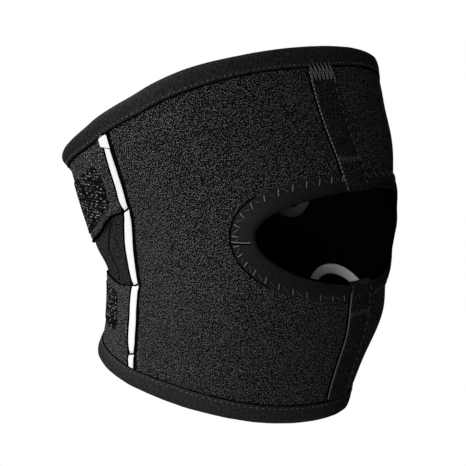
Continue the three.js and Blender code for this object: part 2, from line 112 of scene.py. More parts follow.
# Reflective tape behind the panel, which cross stitches draw in: height, angle, half width.
TAPE = np.array([
    (-53, 106.6, 1.7),
    (-50, 107.1, 1.9),
    (-46.8, 107, 1.6),
    (-42, 107.4, 2.25),
    (-36, 107.1, 2.45),
    (-30, 106, 2.4),
    (-24, 104.8, 2.4),
    (-19, 103, 2.3),
    (-15.3, 101.3, 1.9),
    (-11, 101.2, 2.2),
    (-5, 100.5, 2.45),
    (2, 99, 2.65),
    (9, 96.3, 2.5),
    (14, 94, 2.1),
    (17.3, 93.1, 1.75),
    (21, 92.6, 2.2),
    (28, 90.5, 2.15),
    (36, 88.4, 2.1),
    (43, 86.5, 1.8),
    (49, 85.2, 1.7),
], float)
TAPE_GROOVE = 1.8

PANEL_INSET = CLOTH + GAP
PANEL_EDGE_ROUND = 1.1
PANEL_EDGE_SHADE = 1.1
PANEL_BOTTOM_SHARE = 0.36
PANEL_REAR_SHARE = 0.63
PANEL_STEPS_ROUND = 260
PANEL_STEPS_ACROSS = 64


def curve(rows, column, at, flat_ends=False):
    """Smooth curve through one column of a table, whose first column says where each row stands."""
    keys, values = rows[:, 0], rows[:, column]
    gaps = np.diff(keys)
    slopes = np.diff(values) / gaps
    inner = (slopes[:-1] * gaps[1:] + slopes[1:] * gaps[:-1]) / (gaps[:-1] + gaps[1:])
    ends = (0, 0) if flat_ends else (slopes[0], slopes[-1])
    tangents = np.concatenate([ends[:1], inner, ends[1:]])
    at = np.asarray(at, float)
    within = np.clip(at, keys[0], keys[-1])
    i = np.clip(np.searchsorted(keys, within, "right") - 1, 0, len(gaps) - 1)
    t = (within - keys[i]) / gaps[i]
    ease = t * t * (3 - 2 * t)
    leave = t * (1 - t) ** 2 * gaps[i] * tangents[i]
    arrive = t * t * (t - 1) * gaps[i] * tangents[i + 1]
    beyond = (at - within) * np.where(at < within, tangents[0], tangents[-1])
    return values[i] * (1 - ease) + values[i + 1] * ease + leave + arrive + beyond


def rim(angle, column):
    turned = np.abs(angle) % 360
    return curve(RIMS, column, np.minimum(turned, 360 - turned), flat_ends=True)


def face(angle, height):
    """Points on the outer face of the side panels."""
    angle, height = np.broadcast_arrays(np.asarray(angle, float), np.asarray(height, float))
    sine, cosine = np.sin(np.radians(angle)), np.cos(np.radians(angle))
    wide = (np.abs(sine) / curve(LEG, HALF_WIDTH, height)) ** SQUARENESS
    deep = (np.abs(cosine) / curve(LEG, HALF_DEPTH, height)) ** SQUARENESS
    radius = (wide + deep) ** (-1 / SQUARENESS)
    for dent_angle, dent_height, depth, spread, rise in DENTS:
        across = ((angle - dent_angle + 180) % 360 - 180) / spread
        along = (height - dent_height) / rise
        radius = radius - depth * np.exp(-across**2 - along**2)
    turn = np.radians(TWIST_PER_MM * height)
    x, y = -radius * sine, -radius * cosine
    back = curve(LEG, AXIS_BACK, height)
    turned = [x * np.cos(turn) - y * np.sin(turn), x * np.sin(turn) + y * np.cos(turn) + back]
    return np.stack([*turned, height], -1)


def face_frame(angle, height):
    """How the face runs at a place: its change for a degree and for a millimetre up, and its normal."""
    small = 0.05
    around = (face(angle + small, height) - face(angle - small, height)) / (2 * small)
    along = (face(angle, height + small) - face(angle, height - small)) / (2 * small)
    normal = np.cross(along, around)
    return around, along, normal / np.linalg.norm(normal, axis=-1, keepdims=True)


def wall(angle, height, depth):
    """Points at a depth from the face."""
    normal = face_frame(np.asarray(angle, float), np.asarray(height, float))[2]
    return face(angle, height) + normal * np.asarray(depth, float)[..., None]


def dot(a, b):
    return np.sum(a * b, axis=-1)


def beside(line, turn, distance):
    """Places a distance to the left of a line on the wall, seen from outside while following it."""
    turn, distance = np.broadcast_arrays(np.asarray(turn, float), np.asarray(distance, float))
    angle, height = line(turn)
    around, along, normal = face_frame(angle, height)
    left = np.cross(normal, face(*line(turn + 1e-4)) - face(angle, height))
    left *= (distance / np.linalg.norm(left, axis=-1))[..., None]
    skew = dot(around, along)
    area = dot(around, around) * dot(along, along) - skew**2
    turned = (dot(left, around) * dot(along, along) - dot(left, along) * skew) / area
    raised = (dot(left, along) * dot(around, around) - dot(left, around) * skew) / area
    return angle + turned, height + raised


def opening_edge(turn):
    """Edge of the kneecap opening on the right half, from its lowest point by the tip to its highest."""
    reach = np.sin(np.pi * turn)
    height = OPENING_MIDDLE + OPENING_TIP_RISE * reach**2 - OPENING_HALF_HEIGHT * np.cos(np.pi * turn)
    return OPENING_HALF_ANGLE * reach, height


def tape_line(height):
    return curve(TAPE, 1, height), height


def tape_half(height):
    return curve(TAPE, 2, height, flat_ends=True)


def in_from_rim(angle, column, distance):
    """Height a distance in from a rim, measured square to it."""
    small = 0.5
    rise = (rim(angle + small, column) - rim(angle - small, column)) / (2 * small)
    run = np.linalg.norm(face_frame(angle, rim(angle, column))[0], axis=-1)
    upright = distance * np.hypot(1, rise / run)
    return rim(angle, column) + (-upright if column == TOP else upright)


def meet(angle_at, height_at):
    """Height where a line, given by its angle at each height, meets a border given by its height."""
    height = 0.0
    for _ in range(40):
        height = 0.4 * height + 0.6 * float(height_at(angle_at(height)))
    return height


def panel_rear(height):
    return beside(tape_line, height, -tape_half(height) - TAPE_GROOVE)[0]


def panel_top(angle):
    return in_from_rim(angle, TOP, PANEL_INSET)


def panel_bottom(angle):
    return in_from_rim(angle, BOTTOM, PANEL_INSET)


rear_top = meet(panel_rear, panel_top)
rear_bottom = meet(panel_rear, panel_bottom)


def panel_border(share):
    """Border of the right panel: from the front by the bottom rim, the tape and the top rim to the front."""
    along_rear = (share - PANEL_BOTTOM_SHARE) / (PANEL_REAR_SHARE - PANEL_BOTTOM_SHARE)
    rear_height = rear_bottom + (rear_top - rear_bottom) * np.clip(along_rear, 0, 1)
    bottom_angle = panel_rear(rear_bottom) * share / PANEL_BOTTOM_SHARE
    top_angle = panel_rear(rear_top) * (1 - share) / (1 - PANEL_REAR_SHARE)
    stretches = [share <= PANEL_BOTTOM_SHARE, share <= PANEL_REAR_SHARE]
    angle = np.select(stretches, [bottom_angle, panel_rear(rear_height)], top_angle)
    height = np.select(stretches, [panel_bottom(bottom_angle), rear_height], panel_top(top_angle))
    return angle, height


# Degrees from which an edge between faces stays sharp.
SHARP_EDGE = 60


def new_piece(name, points, faces, corner_uv, materials, slots=None):
    """Object from points in millimetres and faces of four corners, with a material slot for each face."""
    a, b, c, d = (points[faces[:, i]] for i in range(4))
    if dot(a, np.cross(b, c) + np.cross(c, d)).sum() < 0:
        faces, corner_uv = faces[:, ::-1], corner_uv[:, ::-1]
    mesh = bpy.data.meshes.new(name)
    mesh.from_pydata((points * MM).tolist(), [], faces.tolist())
    mesh.uv_layers.new(name="cloth").data.foreach_set("uv", corner_uv.astype(np.float32).ravel())
    for material in materials:
        mesh.materials.append(material)
    if slots is not None:
        mesh.polygons.foreach_set("material_index", slots.astype(np.int32))
    mesh.shade_smooth()
    mesh.set_sharp_from_angle(angle=math.radians(SHARP_EDGE))
    piece = bpy.data.objects.new(name, mesh)
    bpy.context.scene.collection.objects.link(piece)
    return piece


def sheet(name, angle, height, bottom, top, materials, painted_shade_faces=None):
    """Closed cloth over a grid of places, between two depths. A last material after the first covers its
    inner face and cut edges, and the outer faces given in painted_shade_faces, as painted shade."""
    grids = [np.asarray(v, float) for v in (angle, height, bottom, top)]
    angle, height, bottom, top = np.broadcast_arrays(*grids)
    points = np.concatenate([wall(angle, height, depth).reshape(-1, 3) for depth in (top, bottom)])
    grid = np.arange(angle.size).reshape(angle.shape)
    corners = [grid[:-1, :-1], grid[1:, :-1], grid[1:, 1:], grid[:-1, 1:]]
    outer = np.stack(corners, -1).reshape(-1, 4)
    rim_points = np.concatenate([grid[:-1, 0], grid[-1, :-1], grid[:0:-1, -1], grid[0, :0:-1]])
    onward = np.roll(rim_points, -1)
    hem = np.stack([rim_points, rim_points + angle.size, onward + angle.size, onward], -1)
    faces = np.concatenate([outer, hem, outer[:, ::-1] + angle.size])
    uv = np.stack([np.radians(angle) * MEAN_RADIUS, height], -1).reshape(-1, 2)
    slots = np.full(len(faces), len(materials) - 1)
    slots[:len(outer)] = 0 if painted_shade_faces is None else painted_shade_faces.ravel()
    return new_piece(name, points, faces, np.tile(uv, (2, 1))[faces], materials, slots)


def linear(colour):
    """Linear colour of an sRGB hex value."""
    parts = [int(colour[i:i + 2], 16) / 255 for i in (1, 3, 5)]
    return (*[p / 12.92 if p <= 0.04045 else ((p + 0.055) / 1.055) ** 2.4 for p in parts], 1.0)


def add_node(tree, kind, inputs=(), **settings):
    """Adds a node with its settings. An input given as a socket is linked, and any other is set."""
    node = tree.nodes.new(kind)
    for name, value in settings.items():
        setattr(node, name, value)
    for name, value in dict(inputs).items():
        if isinstance(value, bpy.types.NodeSocket):
            tree.links.new(value, node.inputs[name])
        else:
            node.inputs[name].default_value = value
    return node


def new_material(name):
    """Empty material and its node tree."""
    material = bpy.data.materials.new(name)
    material.use_nodes = True
    material.node_tree.nodes.clear()
    return material, material.node_tree


def dyed(tree, shade, dark, light, surface, relief=None):
    """Ends a material: its colour runs from dark to light with a shade, over a surface. A relief is given
    as its height, its strength and its depth in millimetres."""
    colour = add_node(tree, "ShaderNodeValToRGB", {"Fac": shade})
    colour.color_ramp.elements[0].color = linear(dark)
    colour.color_ramp.elements[1].color = linear(light)
    if relief:
        height, strength, depth = relief
        bump = add_node(
            tree, "ShaderNodeBump", {"Height": height, "Strength": strength, "Distance": depth * MM},
        )
        surface = {**surface, "Normal": bump.outputs[0]}
    body = add_node(tree, "ShaderNodeBsdfPrincipled", {"Base Color": colour.outputs["Color"], **surface})
    add_node(tree, "ShaderNodeOutputMaterial", {"Surface": body.outputs[0]})
    return colour


# Loops of the jersey are drawn about one and a half times as far apart as real ones, so that they show.
JERSEY_LOOP = 0.6
LINING_LOOP = 0.9


def jersey(name, ground, painted_glint):
    """Knitted jersey of textured polyester: small loops with painted shade between and uneven painted glints
    on top.
    """
    material, tree = new_material(name)
    place = add_node(tree, "ShaderNodeUVMap", uv_map="cloth")
    loops = add_node(
        tree, "ShaderNodeTexVoronoi", {"Vector": place.outputs[0], "Scale": 1 / JERSEY_LOOP},
        voronoi_dimensions="2D",
    )
    glint = add_node(tree, "ShaderNodeSeparateColor", {"Color": loops.outputs["Color"]})
    tops = add_node(
        tree, "ShaderNodeMapRange", {"Value": loops.outputs["Distance"], "From Min": 0.35, "From Max": 0.05},
    )
    share = add_node(
        tree, "ShaderNodeMath", {0: tops.outputs[0], 1: glint.outputs["Red"]}, operation="MULTIPLY",
    )
    matt = {"Roughness": 0.88, "IOR": 1.5, "Specular IOR Level": 0.12}
    dyed(tree, share.outputs[0], ground, painted_glint, matt, relief=(tops.outputs[0], 0.6, 0.12))
    return material


charcoal_jersey = jersey("charcoal jersey", "#08080a", "#bebec2")

# Lining jersey, black, painted darker than any cloth as shade: only the light through the openings reaches
# it, so it shows next to nothing.
lining, tree = new_material("black lining jersey and painted shade")
lining_place = add_node(tree, "ShaderNodeUVMap", uv_map="cloth")
lining_loops = add_node(
    tree, "ShaderNodeTexVoronoi", {"Vector": lining_place.outputs[0], "Scale": 1 / LINING_LOOP},
    voronoi_dimensions="2D",
)
lining_dull = {"Roughness": 0.95, "Specular IOR Level": 0.0}
dyed(tree, lining_loops.outputs["Distance"], "#050506", "#020203", lining_dull)

share = np.linspace(0, 1, PANEL_STEPS_ROUND + 1)[:, None]
# Columns crowd towards both edges, where the panel rounds off.
panel_across = 0.5 - 0.5 * np.cos(np.linspace(0, np.pi, PANEL_STEPS_ACROSS + 1))
inner_angle, inner_height = beside(opening_edge, share, PANEL_INSET)
border_angle, border_height = panel_border(share)
panel_angle = np.maximum(inner_angle + (border_angle - inner_angle) * panel_across, SEAM_ANGLE)
panel_height = inner_height + (border_height - inner_height) * panel_across
to_border = np.linalg.norm(face(border_angle, border_height) - face(panel_angle, panel_height), axis=-1)
at_rear = (share > PANEL_BOTTOM_SHARE) & (share < PANEL_REAR_SHARE)
turned_in = np.where(at_rear, np.clip(1 - to_border / PANEL_EDGE_ROUND, 0, 1), 0)
panel_top_depth = -PANEL_EDGE_ROUND * (1 - np.sqrt(1 - turned_in**2))
# The rear edge is painted black with the lining: painted shade in the groove beside the tape.
panel_edge_shade = (at_rear & (to_border < PANEL_EDGE_SHADE))[1:, :-1].astype(int)


def stand_for(piece, node):
    """Fixes a piece to the brace in place of a solid."""
    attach(piece, "root")
    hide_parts(node)


# The wearer's right side is worked out, and the left is its mirror image.
SIDES = {"right": 1, "left": -1}
for side, mirror in SIDES.items():
    piece = sheet(
        f"side_panel_{side}_jersey", mirror * panel_angle, panel_height, -WALL, panel_top_depth,
        [charcoal_jersey, lining], panel_edge_shade,
    )
    stand_for(piece, f"side_panel_{side}")


# RIM AND OPENING BINDINGS
# Folded strips of smooth satin-faced stretch tape, 1 mm thick, that wrap the raw edges of both rims and of
# the kneecap opening. A run of stitches close to the free edge draws each one down on the panel.
BINDING_ROUND = 1.6
BINDING_TOP = GAP + CLOTH
BINDING_UNDER = -WALL - 1.5 * GAP - CLOTH
# The free edge is pressed down flat and thin, and drops off at last. The tape puffs up behind it.
BINDING_EDGE_TOP, BINDING_EDGE_UNDER = 0.45, 0.1
BINDING_EDGE_DROP, BINDING_EDGE_REACH = 0.25, 0.2
BINDING_PUFF = 0.2
BINDING_SLACK = 0.09
# Points of the folded section: on its outer leaf, in each half of the bend, and on the inner leaf.
LEAF_POINTS, BEND_POINTS, INNER_POINTS = 17, 6, 6
# From within the bend on, the tape takes the lining: on its back, and on its face as painted shade.
BINDING_SHADE_POINTS = INNER_POINTS + BEND_POINTS + 3
RIM_STITCH_IN = 1.1
RIM_STITCH_PITCH = 2.5
RIM_STITCH_SHARE = 0.4
RIM_STITCH_SUNK, RIM_STITCH_UNEVEN = 0.06, 0.16
RIM_EDGE_STEP = 0.8
RIM_EDGE_OUT = 0.25
RIM_RINGS = 480
OPENING_RINGS = 190
OPENING_BAND = 8
OPENING_BAND_TIP = 10.5
STRIP_HALF_WIDTH = 7


def top_rim(turn):
    return 360 * turn, rim(360 * turn, TOP)


def bottom_rim(turn):
    return -360 * turn, rim(360 * turn, BOTTOM)


def top_band(turn):
    return rim(360 * turn, TOP_BAND)


def bottom_band(turn):
    return rim(360 * turn, BOTTOM_BAND)


def opening_band(turn):
    return OPENING_BAND + (OPENING_BAND_TIP - OPENING_BAND) * np.sin(np.pi * turn) ** 2


def fold_path(outer_band, inner_band, inset):
    """Cloth folded over the wall's edge, an inset under its outside: distance from the fold, and depth."""
    outer_band, inner_band = np.atleast_1d(outer_band)[:, None], np.atleast_1d(inner_band)[:, None]
    leaf = 1 - np.linspace(0, 1, LEAF_POINTS) ** 1.5
    bend = np.linspace(0, np.pi / 2, BEND_POINTS + 1)[1:]
    radius = BINDING_ROUND - inset
    outer = BINDING_ROUND + (outer_band - BINDING_ROUND) * leaf
    turn_in = BINDING_ROUND - radius * np.sin(bend) + 0 * outer_band
    turn_out = BINDING_ROUND - radius * np.cos(bend) + 0 * outer_band
    inner = BINDING_ROUND + (inner_band - BINDING_ROUND) * np.linspace(0, 1, INNER_POINTS + 1)[1:]
    across = np.concatenate([outer, turn_in, turn_out, inner], 1)
    top_depth, under_depth = BINDING_TOP - inset, BINDING_UNDER + inset
    depths = [
        np.full(leaf.shape, top_depth),
        top_depth - radius + radius * np.cos(bend),
        under_depth + radius - radius * np.sin(bend),
        np.full(INNER_POINTS, under_depth),
    ]
    depth = np.broadcast_to(np.concatenate(depths), across.shape)
    return across, depth


def lengths(points):
    """Distance along points from the first one."""
    steps = np.linalg.norm(np.diff(points, axis=0), axis=-1)
    return np.concatenate([[0], np.cumsum(steps)])


def carried(name, rings, closed, materials, back_and_shade=None):
    """Section carried along as rings of points, joined into a loop or capped. A ring holds the cloth's
    outside and then its inside, back to the start, in pairs. Marked points start a second material, painted
    shade."""
    count = rings.shape[1]
    grid = np.arange(rings.shape[0] * count).reshape(-1, count)
    along, around = lengths(rings[:, 0]), lengths(rings[len(rings) // 2])
    around = np.append(around, around[-1])
    if closed:
        grid = np.concatenate([grid, grid[:1]])
        along = np.append(along, along[-1] + np.linalg.norm(rings[-1, 0] - rings[0, 0]))
    grid = np.concatenate([grid, grid[:, :1]], 1)
    uv = np.stack(np.meshgrid(along, around, indexing="ij"), -1)

    def quads(values):
        corners = [values[:-1, :-1], values[:-1, 1:], values[1:, 1:], values[1:, :-1]]
        return np.stack(corners, 2).reshape(-1, 4, *values.shape[2:])

    faces, corner_uv = quads(grid), quads(uv)
    slots = np.zeros(len(faces), int) if back_and_shade is None else np.tile(back_and_shade, len(grid) - 1).astype(int)
    if not closed:
        i = np.arange(count // 2 - 1)
        pairs = np.stack([i, i + 1, count - 2 - i, count - 1 - i], -1)
        caps = np.concatenate([pairs[:, ::-1], pairs + grid[-1, 0]])
        faces = np.concatenate([faces, caps])
        corner_uv = np.concatenate([corner_uv, np.zeros((len(caps), 4, 2))])
        slots = np.concatenate([slots, np.zeros(len(caps), int)])
    return new_piece(name, rings.reshape(-1, 3), faces, corner_uv, materials, slots)


def slack(along, across):
    """Slight waves of cloth that was sewn down under hand tension, at distances along and across it."""
    waves = [(9.7, 31, 0.4), (15.3, -47, 1.9), (23.9, 70, 3.2)]
    return sum(np.sin(math.tau * (along / a + across / b) + phase) for a, b, phase in waves) / len(waves)


def leaf_press(band, across):
    """How far the outer leaf is pressed down: 1 at its free edge, and 0 at the fold."""
    share = np.clip((band - across) / (band - BINDING_ROUND), 0, 1)
    return 1 - share**2 * (3 - 2 * share)


def binding(name, line, turns, band_at, mirror, closed, materials):
    """Binding along a line on the wall. Its second material is the tape's back, and painted shade on the
    inner leaf.
    """
    band = band_at(turns)[:, None]
    run = lengths(face(*line(turns)))[:, None]
    across, depth = fold_path(band_at(turns), band_at(turns), 0)
    under_across, under_depth = fold_path(band_at(turns), band_at(turns), CLOTH)
    to_edge = band - across
    raised = BINDING_PUFF * np.sin(np.pi * np.clip(to_edge / band, 0, 1)) + BINDING_SLACK * slack(run, across)
    raised -= (BINDING_TOP - BINDING_EDGE_TOP) * leaf_press(band, across)
    depth = np.where(depth > 0, depth + raised, depth)
    depth = depth - BINDING_EDGE_DROP * np.exp(-to_edge / BINDING_EDGE_REACH) * (depth > 0)
    under_pressed = (GAP - BINDING_EDGE_UNDER) * leaf_press(band, under_across)
    under_depth = np.where(under_depth > 0, under_depth - under_pressed, under_depth)
    section = across.shape[1]
    across = np.concatenate([across, under_across[:, ::-1]], 1)
    depth = np.concatenate([depth, under_depth[:, ::-1]], 1)
    angle, height = beside(line, turns[:, None], across)
    back_and_shade = np.arange(2 * section) >= section - BINDING_SHADE_POINTS
    return carried(name, wall(mirror * angle, height, depth), closed, materials, back_and_shade)


def on_binding(line, band_at, turn, inside):
    """Places a distance inside a binding's free edge, and the depth of its face there."""
    band = band_at(turn)
    top_depth = BINDING_TOP - (BINDING_TOP - BINDING_EDGE_TOP) * leaf_press(band, band - inside)
    return (*beside(line, turn, band - inside), top_depth + BINDING_PUFF * np.sin(np.pi * inside / band))


def spaced(line, first, last, pitch):
    """Turns of a line at equal distances, as near to the pitch as fits."""
    fine = np.linspace(first, last, 3000)
    run = lengths(face(*line(fine)))
    return np.interp(np.linspace(0, run[-1], round(run[-1] / pitch) + 1), run, fine)


THREAD_SIDES = 6
THREAD_TIP = 0.25


def threads(name, angle, height, depth, radius, material):
    """Threads sewn into the wall, one for each row of places, with their ends drawn to a point."""
    centre = wall(angle, height, depth)
    ahead = np.gradient(centre, axis=1)
    ahead /= np.linalg.norm(ahead, axis=-1, keepdims=True)
    sideways = np.cross(ahead, face_frame(angle, height)[2])
    sideways /= np.linalg.norm(sideways, axis=-1, keepdims=True)
    lift = np.cross(sideways, ahead)
    rows, length = angle.shape
    thick = np.full(length, radius, float)
    thick[[0, -1]] *= THREAD_TIP
    turn = np.arange(THREAD_SIDES) * math.tau / THREAD_SIDES
    spoke = np.cos(turn)[:, None] * sideways[:, :, None] + np.sin(turn)[:, None] * lift[:, :, None]
    points = centre[:, :, None] + thick[:, None, None] * spoke
    grid = np.arange(rows * length * THREAD_SIDES).reshape(rows, length, THREAD_SIDES)
    onward = np.roll(grid, -1, axis=2)
    tube = np.stack([grid[:, :-1], onward[:, :-1], onward[:, 1:], grid[:, 1:]], -1).reshape(-1, 4)
    caps = np.concatenate([
        grid[:, 0][:, corners].reshape(-1, 4) for corners in ([3, 2, 1, 0], [5, 4, 3, 0])
    ] + [
        grid[:, -1][:, corners].reshape(-1, 4) for corners in ([0, 1, 2, 3], [0, 3, 4, 5])
    ])
    faces = np.concatenate([tube, caps])
    run = np.linalg.norm(np.diff(centre, axis=1), axis=-1).cumsum(1)
    run = np.concatenate([np.zeros((rows, 1)), run], 1)
    uv = np.stack(np.broadcast_arrays(run[:, :, None], turn * np.max(radius)), -1).reshape(-1, 2)
    piece = new_piece(name, points.reshape(-1, 3), faces, uv[faces], [material])
    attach(piece, "root")
    return piece


# How a stitch runs along: it rises out of the cloth, lies on it and goes down again.
STITCH_RISE = np.array([-0.45, -0.05, 0.1, 0.13, 0.1, -0.05, -0.45])
STITCH_RUN = np.linspace(0, 1, len(STITCH_RISE))


def dashes(turns, filled):
    """Turns along each stitch of a run, which covers a share of its pitch."""
    return turns[:-1, None] + np.diff(turns)[:, None] * filled * STITCH_RUN


# Wavelength of Blender's band texture at scale 1.
BAND_WAVE = math.tau / 20
# Ribs of the satin are drawn coarser than the real 0.4 mm, so that they show.
SATIN_RIB = 0.7
SATIN_WEAR = 0.9
THREAD_TWIST = 0.6


def satin_tape(name, dark, light):
    """Satin-faced nylon tape: tight, smooth and slightly warm, with a soft lustre along its ribs."""
    material, tree = new_material(name)
    place = add_node(tree, "ShaderNodeUVMap", uv_map="cloth")
    ribs = add_node(
        tree, "ShaderNodeTexWave",
        {"Vector": place.outputs[0], "Scale": BAND_WAVE / SATIN_RIB, "Distortion": 0.8, "Detail": 2.0},
        bands_direction="X",
    )
    worn = add_node(
        tree, "ShaderNodeTexNoise", {"Vector": place.outputs[0], "Scale": 1 / SATIN_WEAR, "Detail": 4.0},
        noise_dimensions="2D",
    )
    share = add_node(
        tree, "ShaderNodeMath", {0: ribs.outputs["Fac"], 1: 0.3, 2: worn.outputs["Fac"]},
        operation="MULTIPLY_ADD",
    )
    lustre = {"Roughness": 0.62, "IOR": 1.5, "Specular IOR Level": 0.12}
    colour = dyed(tree, share.outputs[0], dark, light, lustre, relief=(share.outputs[0], 0.4, 0.06))
    colour.color_ramp.elements[0].position = 0.45
    colour.color_ramp.elements[1].position = 0.95
    return material


rim_satin = satin_tape("satin rim tape", "#171617", "#423f42")
opening_satin = satin_tape("smooth opening tape", "#151415", "#302e31")


def thread_material(name, dark, light, gloss=0.4):
    """Twisted polyester sewing thread, whose two plies show as slanting light and dark."""
    material, tree = new_material(name)
    place = add_node(tree, "ShaderNodeUVMap", uv_map="cloth")
    plies = add_node(
        tree, "ShaderNodeTexWave", {"Vector": place.outputs[0], "Scale": BAND_WAVE / THREAD_TWIST},
        bands_direction="DIAGONAL",
    )
    sheen = {"Roughness": 0.6, "IOR": 1.55, "Specular IOR Level": gloss}
    dyed(tree, plies.outputs["Fac"], dark, light, sheen)
    return material


grey_thread = thread_material("grey polyester thread", "#343437", "#6c6c70")
crease_shade_thread = thread_material("dark grey thread, painted crease shade", "#141416", "#28282b", gloss=0.1)
pale_thread = thread_material("pale grey polyester thread", "#56565a", "#98989c", gloss=0.15)
# Black thread also draws painted shade: dark lines by edges, creases and gaps that lie in shade.
black_thread_and_shade = thread_material("black polyester thread and painted shade", "#020203", "#050506", gloss=0.0)

rim_turns = np.linspace(0, 1, RIM_RINGS + 1)[1:]
for name, line, band in (("top", top_rim, top_band), ("bottom", bottom_rim, bottom_band)):
    piece = binding(f"{name}_binding_satin", line, rim_turns, band, 1, True, [rim_satin, lining])
    stand_for(piece, f"{name}_binding")
    stitch_turns = dashes(spaced(line, 0, 1, RIM_STITCH_PITCH), RIM_STITCH_SHARE)
    angle, height, depth = on_binding(line, band, stitch_turns, RIM_STITCH_IN)
    # Some stitches sink deeper into the tape than others.
    uneven = RIM_STITCH_UNEVEN * slack(RIM_STITCH_PITCH * np.arange(len(stitch_turns)), 0)[:, None]
    stitch_depth = depth + STITCH_RISE + uneven - RIM_STITCH_SUNK
    stitches = threads(f"{name}_binding_stitches", angle, height, stitch_depth, 0.2, pale_thread)
    # A black thread beside the free edge is painted shade.
    edge_turns = spaced(line, 0, 1, RIM_EDGE_STEP)[None]
    edge = threads(
        f"{name}_binding_edge", *beside(line, edge_turns, band(edge_turns) + RIM_EDGE_OUT),
        np.full(edge_turns.shape, 0.08), 0.3, black_thread_and_shade,
    )


def front_angle(height, distance):
    """Angle of a distance from the front line."""
    return np.degrees(distance / curve(LEG, HALF_DEPTH, height))


clear_of_strip = front_angle(OPENING_MIDDLE - OPENING_HALF_HEIGHT, STRIP_HALF_WIDTH + 0.1)
binding_start = np.arcsin(clear_of_strip / OPENING_HALF_ANGLE) / np.pi
opening_turns = np.linspace(binding_start, 1 - binding_start, OPENING_RINGS + 1)
# Overedge stitch that sews the free edge down: pale legs across the edge, and grey links from each leg to
# the next that sink into the cloth. A row of it starts and ends under the front strips.
LEG_PITCH = 2.0
LEG_INNER, LEG_OUTER = 3.9, 0.2
# Legs lean towards the front strips. Away from the tip, about every third place has one.
LEG_LEAN, LEG_LEAN_SPREAD = 1.5, 0.12
LEG_EVERY, LEG_EVERY_AT_TIP = 3, 0.9
LEG_TIP, LEG_TIP_SPREAD = 0.53, 0.16
fine_starts = spaced(opening_edge, binding_start, 1 - binding_start, LEG_PITCH)
at_tip = np.exp(-(((fine_starts - LEG_TIP) / LEG_TIP_SPREAD) ** 2))
passed = np.cumsum(1 / (LEG_EVERY + (LEG_EVERY_AT_TIP - LEG_EVERY) * at_tip))
leg_starts = np.interp(np.arange(1, passed[-1]), passed, fine_starts)
per_mm = np.gradient(fine_starts).mean() / LEG_PITCH
leg_in = LEG_INNER + (LEG_OUTER - LEG_INNER) * STITCH_RUN
lean = LEG_LEAN * np.tanh((leg_starts - 0.5) / LEG_LEAN_SPREAD)[:, None] * per_mm
leg_turns = leg_starts[:, None] + lean * STITCH_RUN
link_turns = leg_turns[:-1, -1:] + (leg_starts[1:, None] - leg_turns[:-1, -1:]) * STITCH_RUN
link_in = 0.1 + (LEG_INNER - 0.1) * STITCH_RUN
# The tape's ends meet at the tip, under a bar of stitches. A black thread beside it paints the shade of a
# crease there.
join_in = np.linspace(0.3, 8.4, 25)[None]
join_turns = np.linspace(0.508, 0.495, 25)[None]
# A black thread paints the shade where the free edge lifts round the tip.
tip_turns = np.linspace(0.31, 0.67, 150)[None]

for side, mirror in SIDES.items():
    piece = binding(
        f"opening_binding_{side}_satin", opening_edge, opening_turns, opening_band, mirror, False,
        [opening_satin, lining],
    )
    stand_for(piece, f"opening_binding_{side}")
    for part, turns, inside, rise, radius, material in (
        # The left side's legs take the darker grey thread, as painted shade.
        ("legs", leg_turns, leg_in, STITCH_RISE, 0.2, pale_thread if side == "right" else grey_thread),
        ("links", link_turns, link_in, STITCH_RISE - 0.2, 0.16, grey_thread),
        ("join", join_turns, join_in, 0.05, 0.22, pale_thread),
        ("crease", join_turns - 0.005, join_in - 0.6, 0.0, 0.26, black_thread_and_shade),
        ("edge", tip_turns, np.full(tip_turns.shape, -0.2), -0.35, 0.42, black_thread_and_shade),
    ):
        angle, height, depth = on_binding(opening_edge, opening_band, turns, inside)
        threads(
            f"opening_binding_{side}_{part}", mirror * angle, height, depth + rise, radius, material,
        )


# FRONT STRIPS
# Two straps of black stretch knit that cover the front seam above and below the opening and turn in round
# its edge. A pale flatlock cord lies along the wearer's right edge, and stitches along the left one.
STRIP_TURN_IN = 9
# Where the strap is sewn on off the front line, towards the right: height, shift, rise.
STRIP_DRIFTS = [(56, 1.8, 16), (-38, -1.6, 12)]
STRIP_EDGE_ROUND = 0.6
STRIP_SLACK = 0.12
# Only what lies this close under the outer face is rounded and wavy.
STRIP_FACE = 0.4
FLATLOCK_PITCH, FLATLOCK_STITCH = 1.7, 1.5
STRIP_STITCH_PITCH, STRIP_STITCH = 3.2, 1.9
TACK_ENDS = 13

strap_knit = jersey("black strap knit", "#08080a", "#8c8c90")


def strip_drift(height):
    return sum(shift * np.exp(-((height - level) / rise) ** 2) for level, shift, rise in STRIP_DRIFTS)


def opening_height(angle, upwards):
    """Height of the opening's upper (1) or lower (-1) edge at an angle."""
    reach = angle / OPENING_HALF_ANGLE
    half = OPENING_HALF_HEIGHT * np.sqrt(1 - reach**2)
    return OPENING_MIDDLE + OPENING_TIP_RISE * reach**2 + upwards * half


def on_strip(upwards, share, across):
    """Places on a strap: a share of its half width from its middle, and a distance from the opening."""
    level = OPENING_MIDDLE + upwards * (OPENING_HALF_HEIGHT + across)
    angle = front_angle(level, strip_drift(level) + share * STRIP_HALF_WIDTH)
    return angle, opening_height(angle, upwards) + upwards * across


def zigzag(near, far):
    """Places on a strap of a zigzag across it, between two distances from the opening."""
    share = np.linspace(1.0, -0.95, TACK_ENDS)
    ends = np.stack([share, np.where(np.arange(TACK_ENDS) % 2, far, near)], -1)
    run = ends[:-1, None] + np.diff(ends, axis=0)[:, None] * STITCH_RUN[:, None]
    return run[..., 0], run[..., 1]


